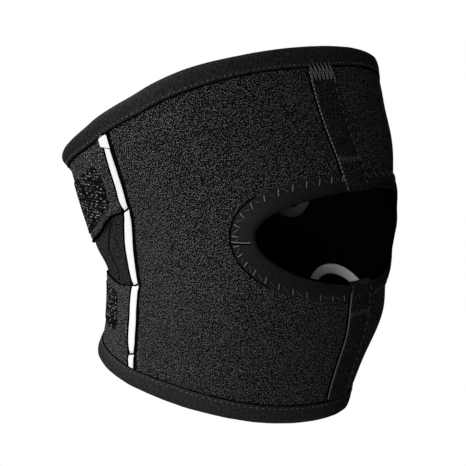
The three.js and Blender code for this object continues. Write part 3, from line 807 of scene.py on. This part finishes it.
strip_lengths = {
    1: float(in_from_rim(0.0, TOP, rim(0.0, TOP_BAND) + GAP) - opening_height(0.0, 1)),
    -1: float(opening_height(0.0, -1) - in_from_rim(0.0, BOTTOM, rim(0.0, BOTTOM_BAND) + GAP)),
}
strip_share = np.cos(np.linspace(0, np.pi, 25))
for name, upwards in (("upper", 1), ("lower", -1)):
    length = strip_lengths[upwards]
    across, depth = fold_path(length, STRIP_TURN_IN, 0)
    under_across, under_depth = fold_path(length, STRIP_TURN_IN, CLOTH)
    across = np.concatenate([across, under_across[:, ::-1]], 1)
    depth = np.concatenate([depth, under_depth[:, ::-1]], 1)
    from_side = (1 - np.abs(strip_share)) * STRIP_HALF_WIDTH
    edge_drop = STRIP_EDGE_ROUND * np.exp(-from_side / STRIP_EDGE_ROUND)[:, None]
    worn = STRIP_SLACK * slack(across * 0.8, strip_share[:, None] * 20)
    on_face = depth > BINDING_TOP - STRIP_FACE
    depth = np.where(on_face, depth + worn - edge_drop, depth)
    angle, height = on_strip(upwards, strip_share[:, None], across)
    piece = carried(f"front_strip_{name}_jersey", wall(angle, height, depth), False, [strap_knit])
    stand_for(piece, f"front_strip_{name}")
    cord_shade = np.linspace(0.5, length - 0.5, 90)[None]
    chain = np.arange(0.6, length - 2, FLATLOCK_PITCH)[:, None] + FLATLOCK_STITCH * STITCH_RUN
    run = np.arange(2, length - 2, STRIP_STITCH_PITCH)[:, None] + STRIP_STITCH * STITCH_RUN
    on_top = BINDING_TOP + STITCH_RISE
    parts = [
        # A black thread beside the flatlock cord is its painted shadow.
        ("cord_shade", 1.07, cord_shade, 0.55, 0.38, black_thread_and_shade),
        ("flatlock", 1.0, chain, 0.95 + 0.6 * STITCH_RISE, 0.31, pale_thread),
        ("stitches", -0.84, run, on_top, 0.17, grey_thread),
        # A tack crosses the strap beyond the opening's binding, and another holds the upper one to the rim's.
        ("low_tack", *zigzag(10.5, 15.5), on_top - 0.2, 0.16, grey_thread),
    ]
    if name == "upper":
        parts.append(("tack", *zigzag(length - 6.0, length + 1.6), on_top, 0.16, pale_thread))
    for part, share, across, depth, radius, material in parts:
        angle, height = on_strip(upwards, share, across)
        depth = np.broadcast_to(depth, angle.shape)
        threads(f"front_strip_{name}_{part}", angle, height, depth, radius, material)


# BACK PANEL
# Thin black stretch knit behind the knee, sewn to both side panels under the tapes. It creases softly where
# the tabs leave it bare.
BACK_BOTTOM = -2.5
BACK_TOP = -1.5
BACK_CLEARANCE = 0.25
# Soft crease of the bare part, on both sides: angle, height.
CREASE = np.array([
    (108.6, 9.8), (110, 8.7), (114, 4.3), (116.4, 0),
    (117.3, -4.5), (116.3, -8), (116, -11.5), (116.4, -14.5),
])
CREASE_DEPTH = 0.8
CREASE_SPREAD = 1.1
CREASE_RIDGE = 0.5
CREASE_RIDGE_OFF, CREASE_RIDGE_SPREAD = 3, 2.4
# Angle of the middle of the bare part, and how far it reaches.
BARE_ANGLE, BARE_SPREAD = 110, 16
CREASE_STEPS = 60

stretch_jersey = jersey("black stretch knit", "#08080a", "#8d8d91")


def stretch(columns, rows_up, first, last, corners, low, high):
    """Places between two end angles and two border heights, with the corners at the ends rounded."""
    u, v = np.meshgrid(np.linspace(0, 1, columns + 1), np.linspace(0, 1, rows_up + 1), indexing="ij")
    angle = float(first(0.0)) + (float(last(0.0)) - float(first(0.0))) * u

    def cut(inset, radius):
        short = np.clip(radius - inset, 0, radius)
        return radius - np.sqrt(radius**2 - short**2)

    for _ in range(15):
        bottom, top = low(angle), high(angle)
        height = bottom + (top - bottom) * v
        inset = np.minimum(height - bottom, top - height)
        per_degree = np.linalg.norm(face_frame(angle, height)[0], axis=-1)
        start = first(height) + cut(inset, corners[0]) / per_degree
        end = last(height) - cut(inset, corners[1]) / per_degree
        angle = start + (end - start) * u
    return angle, height


def back_from(height):
    return beside(tape_line, height, -tape_half(height) - TAPE_GROOVE - BACK_CLEARANCE)[0]


def back_to(height):
    return 360 - back_from(height)


back_angle, back_height = stretch(360, 80, back_from, back_to, (0, 0), panel_bottom, panel_top)
crease_height = np.linspace(CREASE[-1, 1], CREASE[0, 1], CREASE_STEPS)
crease_angle = curve(CREASE[::-1, ::-1], 1, crease_height)
folded = np.minimum(back_angle, 360 - back_angle)
off_crease = np.hypot(
    np.radians(folded[..., None] - crease_angle) * MEAN_RADIUS, back_height[..., None] - crease_height
).min(-1)
valley = np.exp(-((off_crease / CREASE_SPREAD) ** 2))
# The ridge beside it stands on the side towards the back.
behind_crease = 1 / (1 + np.exp(-(folded - np.interp(back_height, crease_height, crease_angle))))
ridge = behind_crease * np.exp(-((off_crease - CREASE_RIDGE_OFF) / CREASE_RIDGE_SPREAD) ** 2)
bare = np.exp(-((folded - BARE_ANGLE) / BARE_SPREAD) ** 2)
creased = bare * (CREASE_RIDGE * ridge - CREASE_DEPTH * valley)
back_panel = sheet(
    "back_panel_knit", back_angle, back_height, BACK_BOTTOM + creased, BACK_TOP + creased,
    [stretch_jersey, lining],
)
stand_for(back_panel, "back_panel")
# A dark thread along each crease is its painted shade.
crease_shades = [
    threads(
        f"back_panel_crease_shade_{side}", mirror * crease_angle[None], crease_height[None],
        np.full((1, CREASE_STEPS), BACK_TOP - 0.35), 0.4, crease_shade_thread,
    )
    for side, mirror in SIDES.items()
]


# REFLECTIVE TAPES
# White glass-bead film, 5 mm wide, on a woven flange that is sewn into the seam between side panel and
# back; the flange is painted black as the groove's shade. Cross stitches nip it where the tabs begin, and its
# upper end is folded over.
TAPE_BOTTOM = -1.15
TAPE_TOP = 0.0
TAPE_CROWN = 0.3
TAPE_SLACK = 0.06
TAPE_FLANGE = 1.8
TAPE_FILM_INSET = 0.2
TAPE_FLANGE_TOP = -0.85
TAPE_NIPS = [(17.3, 0.5), (-15.3, 0.5), (-46.8, 0.45)]
TAPE_NIP_RISE = 1.1
BEAD_CELL = 0.8
FLANGE_WEAVE = 0.6

# Glass-bead film, white over a faint grid of cells. It throws light straight back, and a faint painted glow
# makes it shine white in any light.
reflective, tree = new_material("white reflective tape")
bead_place = add_node(tree, "ShaderNodeUVMap", uv_map="cloth")
bead_cells = add_node(
    tree, "ShaderNodeTexVoronoi",
    {"Vector": bead_place.outputs[0], "Scale": 1 / BEAD_CELL, "Randomness": 0.2},
    voronoi_dimensions="2D",
)
bead_film_and_glow = {"Roughness": 0.4, "IOR": 1.5, "Emission Color": linear("#ffffff"), "Emission Strength": 0.3}
dyed(
    tree, bead_cells.outputs["Distance"], "#f6f6f6", "#e4e4e6", bead_film_and_glow,
    relief=(bead_cells.outputs["Distance"], 0.3, 0.05),
)


def tape_angle(height):
    return tape_line(height)[0]


tape_low = meet(tape_angle, panel_bottom) + 2 * GAP
tape_high = meet(tape_angle, panel_top) - 2 * GAP
tape_height = np.linspace(tape_low, tape_high, 321)[:, None]
# Across the tape in shares of the film's half width, with the flange in front of it.
film_across = np.linspace(-1, 1, 15)
flange_across = np.linspace(-TAPE_FLANGE, -0.05, 6)
tape_off = np.concatenate([
    flange_across - tape_half(tape_height), (tape_half(tape_height) - TAPE_FILM_INSET) * film_across,
], 1)


def film_face(height, across):
    nipped = sum(depth * np.exp(-((height - level) / TAPE_NIP_RISE) ** 2) for level, depth in TAPE_NIPS)
    return TAPE_TOP - TAPE_CROWN * across**4 - nipped


film_depth = film_face(tape_height, film_across) + TAPE_SLACK * slack(tape_height, film_across)
flange_depth = np.full((len(tape_height), len(flange_across)), TAPE_FLANGE_TOP)
tape_depth = np.concatenate([flange_depth, film_depth], 1)
tape_place = beside(tape_line, tape_height, tape_off)
on_flange = np.zeros((len(tape_height) - 1, tape_off.shape[1] - 1), int)
on_flange[:, :len(flange_across)] = 1

# Woven flange, painted black as the groove's shade, like the tape's cut edges and inner face.
flange, tree = new_material("woven flange, painted groove shade")
flange_place = add_node(tree, "ShaderNodeUVMap", uv_map="cloth")
flange_weave = add_node(
    tree, "ShaderNodeTexWave",
    {"Vector": flange_place.outputs[0], "Scale": BAND_WAVE / FLANGE_WEAVE, "Distortion": 0.5},
    bands_direction="Y",
)
flange_dull = {"Roughness": 0.9, "Specular IOR Level": 0.05}
dyed(tree, flange_weave.outputs["Fac"], "#020203", "#08080a", flange_dull)

# Cross stitches at the nips: two black bars over the film, side by side, which drop towards the back.
BAR_SHIFT = 0.18
BAR_DROP = 0.8
bar_level = np.array([level + shift for level, _ in TAPE_NIPS for shift in (-BAR_SHIFT, BAR_SHIFT)])[:, None]
bar_across = np.linspace(-1.1, 1.1, 13)
bar_height = bar_level - BAR_DROP * bar_across
bar_place = beside(tape_line, bar_height, tape_half(bar_level) * bar_across)
bar_depth = film_face(bar_height, bar_across) + 0.12
# Black overlock along the film's rear edge.
overlock_height = np.linspace(tape_low + 1, tape_high - 1, 240)[None]
overlock_place = beside(tape_line, overlock_height, tape_half(overlock_height) + 0.25)
# The upper end is turned over into a small lap, held by the binding.
LAP_LOW, LAP_HIGH = 44.2, 49.5
LAP_HALF_WIDTH = 1.85
LAP_SLANT = 0.35
LAP_SHIFT = 0.2
LAP_RISE, LAP_CURL, LAP_SLACK = 0.28, 0.1, 0.05
lap_height = np.linspace(LAP_LOW, LAP_HIGH, 25)[:, None]
lap_across = np.linspace(-0.9, 1.75, 15)
lap_taper = 1.12 - 0.006 * (lap_height - LAP_LOW)
lap_place = beside(
    tape_line, lap_height + LAP_SLANT * lap_across, LAP_HALF_WIDTH * lap_taper * lap_across - LAP_SHIFT,
)
lap_curl = LAP_CURL * (lap_across - 0.4) ** 4
lap_depth = TAPE_TOP + LAP_RISE - lap_curl + LAP_SLACK * slack(lap_height, 3 * lap_across)

for side, mirror in SIDES.items():
    piece = sheet(
        f"reflective_tape_{side}_film", mirror * tape_place[0], tape_place[1], TAPE_BOTTOM, tape_depth,
        [reflective, flange], on_flange,
    )
    stand_for(piece, f"reflective_tape_{side}")
    lap = sheet(
        f"reflective_tape_{side}_lap", mirror * lap_place[0], lap_place[1], TAPE_TOP - 0.1, lap_depth,
        [reflective],
    )
    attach(lap, "root")
    for part, (angle, height), depth, radius in (
        ("bars", bar_place, bar_depth, 0.22),
        ("overlock", overlock_place, np.full(overlock_height.shape, TAPE_TOP - 0.3), 0.45),
        ("lap_hem", (lap_place[0][:1], lap_place[1][:1]), lap_depth[:1] - 0.1, 0.2),
    ):
        name = f"reflective_tape_{side}_{part}"
        threads(name, mirror * angle, height, depth, radius, black_thread_and_shade)


# CLOSING TABS
# Two pairs of stretch-knit tabs. The right pair lies on the back panel, and the left pair climbs over it
# and closes on its pile.
TAB_BOTTOM = -1.1
TAB_THICK = 1.0
TAB_ENDS = {"right": 200, "left": 202}
TAB_CLIMB_START = 142
TAB_CLIMB_END = 156
TAB_CORNER = 6
TAB_CLEARANCE = 0.1
TAB_EDGE_ROUND = 0.8
# Angle where the free edge lifts off the back panel.
TAB_LIFTS_AT = 107
TAB_GAP_NARROW = 0.22
TAB_ROOT_ANGLE = 98
# Where a tab leaves the rim's binding.
TAB_FREE_START = 134
TAB_FREE_END = 142
PATCH_THICK = 0.5
# Edges of the tabs that face each other: angle, lower edge of the upper tab, upper edge of the lower tab.
TAB_EDGES = np.array([
    (94, 16.8, -15.5),
    (100, 15.2, -15.7),
    (105, 13.7, -16),
    (110, 11, -16.4),
    (116.5, 6.9, -16.5),
    (121, 4.8, -15.6),
    (127, 2.4, -15.3),
    (140, -1, -15),
    (180, -2.4, -14.5),
], float)


def tab_edge(angle, column):
    turned = np.abs(angle) % 360
    return curve(TAB_EDGES, column, np.minimum(turned, 360 - turned))


def tab_from(height):
    return beside(tape_line, height, tape_half(height) + TAB_CLEARANCE)[0]


def under_top_binding(angle):
    return in_from_rim(angle, TOP, rim(angle, TOP_BAND) + 2 * GAP)


def above_bottom_binding(angle):
    return in_from_rim(angle, BOTTOM, rim(angle, BOTTOM_BAND) + 2 * GAP)


def leaving(angle, bound, free):
    """Border of a tab, which leaves the rim's binding towards the back."""
    turned = np.abs(angle) % 360
    share = (np.minimum(turned, 360 - turned) - TAB_FREE_START) / (TAB_FREE_END - TAB_FREE_START)
    share = np.clip(share, 0, 1)
    return bound(angle) + (free(angle) - bound(angle)) * share**2 * (3 - 2 * share)


tab_borders = {
    "upper": (lambda angle: tab_edge(angle, 1), lambda angle: leaving(angle, panel_top, under_top_binding)),
    "lower": (
        lambda angle: leaving(angle, panel_bottom, above_bottom_binding), lambda angle: tab_edge(angle, 2),
    ),
}

tab_jersey = jersey("black tab knit", "#08080a", "#d2d2d6")

tabs = {}
for row, (low, high) in tab_borders.items():
    for side, mirror in SIDES.items():
        angle, height = stretch(
            120, 44, tab_from, lambda height: TAB_ENDS[side] + 0 * height, (0, TAB_CORNER), low, high,
        )
        # Only the edge that faces the other tab is rounded.
        free_edge = tab_edge(angle, 1 if row == "upper" else 2)
        rounded = TAB_EDGE_ROUND * np.exp(-np.abs(height - free_edge) / TAB_EDGE_ROUND)
        share = np.clip((angle - TAB_CLIMB_START) / (TAB_CLIMB_END - TAB_CLIMB_START), 0, 1)
        climbed = (TAB_THICK + PATCH_THICK + 3 * GAP) * share**2 * (3 - 2 * share) if side == "left" else 0
        bottom = TAB_BOTTOM + climbed
        piece = sheet(
            f"{row}_tab_{side}_knit", mirror * angle, height, bottom, bottom + TAB_THICK - rounded,
            [tab_jersey, lining],
        )
        stand_for(piece, f"{row}_tab_{side}")
        tabs[row, side] = piece
# A black thread in the gap under each tab's edge paints its shadow, widest where the edge lifts.
for row, column, widest in (("upper", 1, 0.6), ("lower", 2, 0.3)):
    for side, mirror in SIDES.items():
        root = float(tab_from(tab_edge(TAB_ROOT_ANGLE, column)))
        angle = np.linspace(root + 0.5, TAB_CLIMB_START, 120)[None]
        lifted = 1 / (1 + np.exp(-(angle - TAB_LIFTS_AT) / 1.5))
        away = -0.2 if row == "upper" else 0.2
        threads(
            f"{row}_tab_{side}_gap", mirror * angle, tab_edge(angle, column) + away,
            np.full(angle.shape, TAB_BOTTOM + 0.35),
            (TAB_GAP_NARROW + (widest - TAB_GAP_NARROW) * lifted)[0], black_thread_and_shade,
        )
for row in tab_borders:
    for side, under in (("right", back_panel), ("left", tabs[row, "right"])):
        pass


# LOOP PATCHES
# Brushed loop pile sewn flat on the right tabs, which the hooks of the left tabs grip. Its loops stand in
# offset rows, with painted shade between them and painted glints at their tops.
PATCH_END = 196
PATCH_CORNER = 4
PATCH_BOTTOM = TAB_BOTTOM + TAB_THICK + 0.1
# Rows of loops are drawn about twice as far apart as the real ones, so that they show.
LOOP_AROUND, LOOP_UP = 2.1, 1.35
LOOP_GROUND = 0.15
LOOP_HEIGHT = 0.3
# Behind the tape in degrees, above the tab's lower border, and below its upper one.
PATCHES = {"upper": (8, 3.5, 5.5), "lower": (13, 10, 4)}

# Nylon loops, black, with painted shade between them and painted highlights on the tops of some.
pile, tree = new_material("black loop pile")
pile_place = add_node(tree, "ShaderNodeUVMap", uv_map="cloth")
pile_rows = add_node(
    tree, "ShaderNodeMapping",
    {"Vector": pile_place.outputs[0], "Scale": (1 / LOOP_AROUND, 1 / LOOP_UP, 1.0)},
)
pile_loops = add_node(
    tree, "ShaderNodeTexVoronoi", {"Vector": pile_rows.outputs[0], "Scale": 1.0, "Randomness": 0.4},
    voronoi_dimensions="2D",
)
pile_shade = add_node(tree, "ShaderNodeSeparateColor", {"Color": pile_loops.outputs["Color"]})
pile_tops = add_node(
    tree, "ShaderNodeMapRange",
    {"Value": pile_loops.outputs["Distance"], "From Min": 0.34, "From Max": 0.16},
)
pile_glint = add_node(tree, "ShaderNodeMath", {0: pile_shade.outputs["Red"], 1: 3.0}, operation="POWER")
pile_share = add_node(
    tree, "ShaderNodeMath", {0: pile_tops.outputs[0], 1: pile_glint.outputs[0]}, operation="MULTIPLY",
)
dyed(tree, pile_share.outputs[0], "#020203", "#b4b4b8", {"Roughness": 0.8, "Specular IOR Level": 0.1})

for row, (behind, below, above) in PATCHES.items():
    low, high = tab_borders[row]
    angle, height = stretch(
        260, 66, lambda height: tape_angle(height) + behind, lambda height: PATCH_END + 0 * height,
        (PATCH_CORNER, PATCH_CORNER),
        lambda angle: np.maximum(low(angle), above_bottom_binding(angle)) + below,
        lambda angle: np.minimum(high(angle), under_top_binding(angle)) - above,
    )
    across = np.radians(angle) * MEAN_RADIUS * np.pi / LOOP_AROUND
    along = height * np.pi / LOOP_UP
    loops = np.sqrt(np.abs(np.sin(across) * np.sin(along)))
    piece = sheet(
        f"{row}_loop_patch_pile", angle, height, PATCH_BOTTOM,
        PATCH_BOTTOM + LOOP_GROUND + LOOP_HEIGHT * loops, [pile],
    )
    stand_for(piece, f"{row}_loop_patch")


# SILICONE GRIP WAVES
# Ribbons of translucent silicone printed on the inside in waves, which keep the brace from slipping. Two of
# them show through the kneecap opening.
WAVE_HALF_WIDTH = 2.3
WAVE_THICK = 0.8
WAVE_EDGE_SHARE = 0.35
WAVE_WEAR = 3
# Places along each wave: turn, angle, height.
WAVES = {
    "upper": [
        (0, -103.5, 22), (1, -101.2, 17.5), (2, -100.6, 12), (3, -101.6, 7.4), (4, -104.8, 4.2),
        (5, -109, 3.1), (6, -113.4, 4.5), (7, -117.4, 8), (8, -121.5, 12),
    ],
    "lower": [
        (0, -50, -29.5), (1, -56, -28.8), (2, -63, -26.6), (3, -70.5, -24), (4, -77, -22.2),
        (5, -83, -21.6), (6, -88.4, -22.6), (7, -92, -25.7), (8, -93.6, -30), (9, -95.6, -34),
    ],
}


def silicone(name, dark, light, shaded_at, lit_at, gloss):
    """Silicone rubber, painted darker as shade from a lit place towards a shaded one. The two places are
    distances round the leg from the front line."""
    material, tree = new_material(name)
    place = add_node(tree, "ShaderNodeUVMap", uv_map="cloth")
    around = add_node(tree, "ShaderNodeSeparateXYZ", {"Vector": place.outputs[0]})
    lit_share = add_node(
        tree, "ShaderNodeMapRange", {"Value": around.outputs["X"], "From Min": shaded_at, "From Max": lit_at},
    )
    worn = add_node(
        tree, "ShaderNodeTexNoise", {"Vector": place.outputs[0], "Scale": 1 / WAVE_WEAR, "Detail": 3.0},
        noise_dimensions="2D",
    )
    share = add_node(
        tree, "ShaderNodeMath", {0: worn.outputs["Fac"], 1: 0.15, 2: lit_share.outputs[0]},
        operation="MULTIPLY_ADD",
    )
    rubber = {"Roughness": 0.5, "IOR": 1.41, "Specular IOR Level": gloss}
    dyed(tree, share.outputs[0], dark, light, rubber)
    return material


# The upper wave is a darker copy of the same silicone, as painted shade, and each wave is painted darker
# towards the back.
silicones = {
    "upper": silicone("grey silicone in painted shade", "#040405", "#323234", -138, -116, gloss=0.0),
    "lower": silicone("pale grey silicone", "#4a4a4c", "#b4b4b6", -108, -74, gloss=0.5),
}
for row, places in WAVES.items():
    places = np.array(places, float)

    def wave_line(turn):
        return curve(places, 1, turn), curve(places, 2, turn)

    turn, across = np.linspace(0, len(places) - 1, 161)[:, None], np.linspace(-1, 1, 13)
    angle, height = beside(wave_line, turn, across * WAVE_HALF_WIDTH)
    domed = np.sqrt(1 - 0.98 * across**2)
    crown = WAVE_THICK * (WAVE_EDGE_SHARE + (1 - WAVE_EDGE_SHARE) * domed)
    lining_depth = -WALL - GAP
    piece = sheet(
        f"grip_wave_{row}_silicone", angle, height, lining_depth - crown, lining_depth, [silicones[row]],
    )
    stand_for(piece, f"grip_wave_{row}")


# FLOOR, LIGHT AND CAMERA
# A small round pale floor well below the brace, which hangs as on a leg. Broad soft lamps stand behind the
# wearer's right and left, with weaker ones to the right and above, and white surroundings fill in faintly.
FLOOR_HEIGHT = -0.45
FLOOR_RADIUS = 0.3
FLOOR_SIDES = 96
LAMP_DISTANCE, LAMP_SIZE = 1.6, 0.8
# Angle, rise and watts of each lamp.
LAMPS = {"key": (126, 28, 19.5), "side": (70, 8, 8.5), "front": (20, 55, 2.7), "far": (-132, 18, 14.0)}
SURROUND_FILL = 0.02
CAMERA_AZIMUTH, CAMERA_RISE, CAMERA_ROLL = -48, 7.2, 1.5
CAMERA_DISTANCE = 0.75
SENSOR_WIDTH = 36
PHOTO_WIDTH = 466
PIXELS_PER_MM = 2.25
ORIGIN_PIXEL = (240.6, 235.7)

floor_mesh = bpy.data.meshes.new("floor")
floor_turn = np.linspace(0, math.tau, FLOOR_SIDES + 1)[:-1]
floor_points = np.stack([np.cos(floor_turn), np.sin(floor_turn), 0 * floor_turn], -1) * FLOOR_RADIUS
floor_mesh.from_pydata(floor_points.tolist(), [], [list(range(FLOOR_SIDES))])
floor = bpy.data.objects.new("floor", floor_mesh)
floor.location.z = FLOOR_HEIGHT
bpy.context.scene.collection.objects.link(floor)
# Matt paint, rolled on: pale, with hardly any grain.
paint, tree = new_material("pale matt paint")
paint_place = add_node(tree, "ShaderNodeTexCoord")
paint_grain = add_node(tree, "ShaderNodeTexNoise", {"Vector": paint_place.outputs["Object"], "Scale": 40.0})
dyed(tree, paint_grain.outputs["Fac"], "#ececec", "#f4f4f4", {"Roughness": 0.9})
floor_mesh.materials.append(paint)


def add_lamp(name, direction, watts):
    """Square soft lamp that faces the middle of the knee."""
    lamp = bpy.data.lights.new(name, "AREA")
    lamp.size = LAMP_SIZE
    lamp.energy = watts
    holder = bpy.data.objects.new(name, lamp)
    holder.location = direction * LAMP_DISTANCE
    holder.rotation_euler = (-direction).to_track_quat("-Z", "Y").to_euler()
    bpy.context.scene.collection.objects.link(holder)


def towards(angle, rise):
    """Direction from the leg's axis at an angle round it and a rise above level."""
    a, e = math.radians(angle), math.radians(rise)
    return Vector((-math.sin(a) * math.cos(e), -math.cos(a) * math.cos(e), math.sin(e)))


for name, (angle, rise, watts) in LAMPS.items():
    add_lamp(f"{name}_lamp", towards(angle, rise), watts)

# The surroundings look white, and light the brace with only a part of that.
surround = bpy.data.worlds.new("white surroundings")
surround.use_nodes = True
tree = surround.node_tree
tree.nodes.clear()
seen = add_node(tree, "ShaderNodeLightPath")
strength = add_node(
    tree, "ShaderNodeMapRange", {"Value": seen.outputs["Is Camera Ray"], "To Min": SURROUND_FILL},
)
glow = add_node(
    tree, "ShaderNodeBackground", {"Color": linear("#ffffff"), "Strength": strength.outputs[0]},
)
add_node(tree, "ShaderNodeOutputWorld", {"Surface": glow.outputs[0]})
bpy.context.scene.world = surround
bpy.context.scene.view_settings.view_transform = "Standard"

lens = bpy.data.cameras.new("camera")
lens.sensor_width = SENSOR_WIDTH
lens.lens = SENSOR_WIDTH * PIXELS_PER_MM * CAMERA_DISTANCE / MM / PHOTO_WIDTH
lens.shift_x = 0.5 - ORIGIN_PIXEL[0] / PHOTO_WIDTH
lens.shift_y = ORIGIN_PIXEL[1] / PHOTO_WIDTH - 0.5
camera = bpy.data.objects.new("camera", lens)
camera_direction = towards(-CAMERA_AZIMUTH, CAMERA_RISE)
camera.location = camera_direction * CAMERA_DISTANCE
camera.rotation_mode = "QUATERNION"
upright = (-camera_direction).to_track_quat("-Z", "Y")
camera.rotation_quaternion = upright @ Quaternion((0, 0, 1), math.radians(-CAMERA_ROLL))
bpy.context.scene.collection.objects.link(camera)
bpy.context.scene.camera = camera
